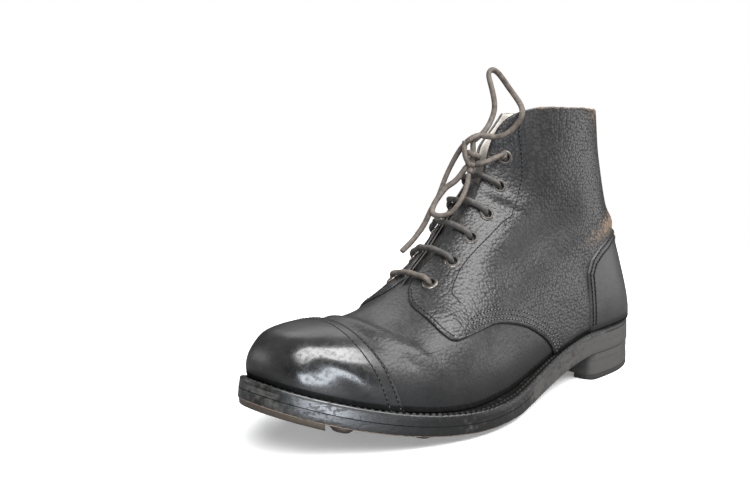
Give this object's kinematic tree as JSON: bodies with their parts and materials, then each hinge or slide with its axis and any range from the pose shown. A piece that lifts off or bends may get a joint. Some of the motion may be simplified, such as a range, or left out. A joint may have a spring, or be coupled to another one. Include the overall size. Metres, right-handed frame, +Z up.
{
  "type": "military ankle boot",
  "caption": "Black leather ankle boot for the left foot with a capped round toe, laced open front, stitched welt and a leather sole shod with iron plates and studs.",
  "frame": {"origin": "centre of the boot's plan on the ground, without the free lace", "axes": "+Z up, toe towards -Y, outer side of the left foot towards +X"},
  "size_m": [0.1103, 0.2996, 0.1937],
  "materials": {
    "black_leather": "worn black pebbled leather with a low sheen",
    "polished_leather": "smooth black leather polished to a shine",
    "sole_leather": "stacked sole leather, blackened and waxed at the edge",
    "tan_leather": "plain tan insole leather",
    "worn_iron": "iron worn bright and lightly rusted",
    "eyelet_brass": "dull brass with worn dark lacquer",
    "lace_leather": "thin grey-tan leather lace"
  },
  "bodies": {
    "root": {"upper": "black_leather", "counter": "black_leather", "tongue": "black_leather", "toe_cap": "polished_leather", "outsole": "sole_leather", "midsole": "sole_leather", "welt": "sole_leather", "heel_rand": "sole_leather", "heel_lift_1": "sole_leather", "heel_lift_2": "sole_leather", "heel_lift_3": "sole_leather", "insole": "tan_leather", "heel_plate": "worn_iron", "toe_plate": "worn_iron", "stud_01": "worn_iron", "stud_02": "worn_iron", "stud_03": "worn_iron", "stud_04": "worn_iron", "stud_05": "worn_iron", "stud_06": "worn_iron", "stud_07": "worn_iron", "stud_08": "worn_iron", "stud_09": "worn_iron", "stud_10": "worn_iron", "stud_11": "worn_iron", "stud_12": "worn_iron", "stud_13": "worn_iron", "stud_14": "worn_iron", "stud_15": "worn_iron", "stud_16": "worn_iron", "stud_17": "worn_iron", "stud_18": "worn_iron", "eyelet_outer_1": "eyelet_brass", "eyelet_outer_2": "eyelet_brass", "eyelet_outer_3": "eyelet_brass", "eyelet_outer_4": "eyelet_brass", "eyelet_outer_5": "eyelet_brass", "eyelet_outer_6": "eyelet_brass", "eyelet_inner_1": "eyelet_brass", "eyelet_inner_2": "eyelet_brass", "eyelet_inner_3": "eyelet_brass", "eyelet_inner_4": "eyelet_brass", "eyelet_inner_5": "eyelet_brass", "eyelet_inner_6": "eyelet_brass", "lace_bar_1": "lace_leather", "lace_bar_2": "lace_leather", "lace_bar_3": "lace_leather", "lace_bar_4": "lace_leather", "lace_bar_5": "lace_leather", "lace_bar_6": "lace_leather", "lace_knot": "lace_leather", "lace_loop_up": "lace_leather", "lace_loop_down": "lace_leather", "lace_end_long": "lace_leather", "lace_end_short": "lace_leather"}
  },
  "joints": []
}
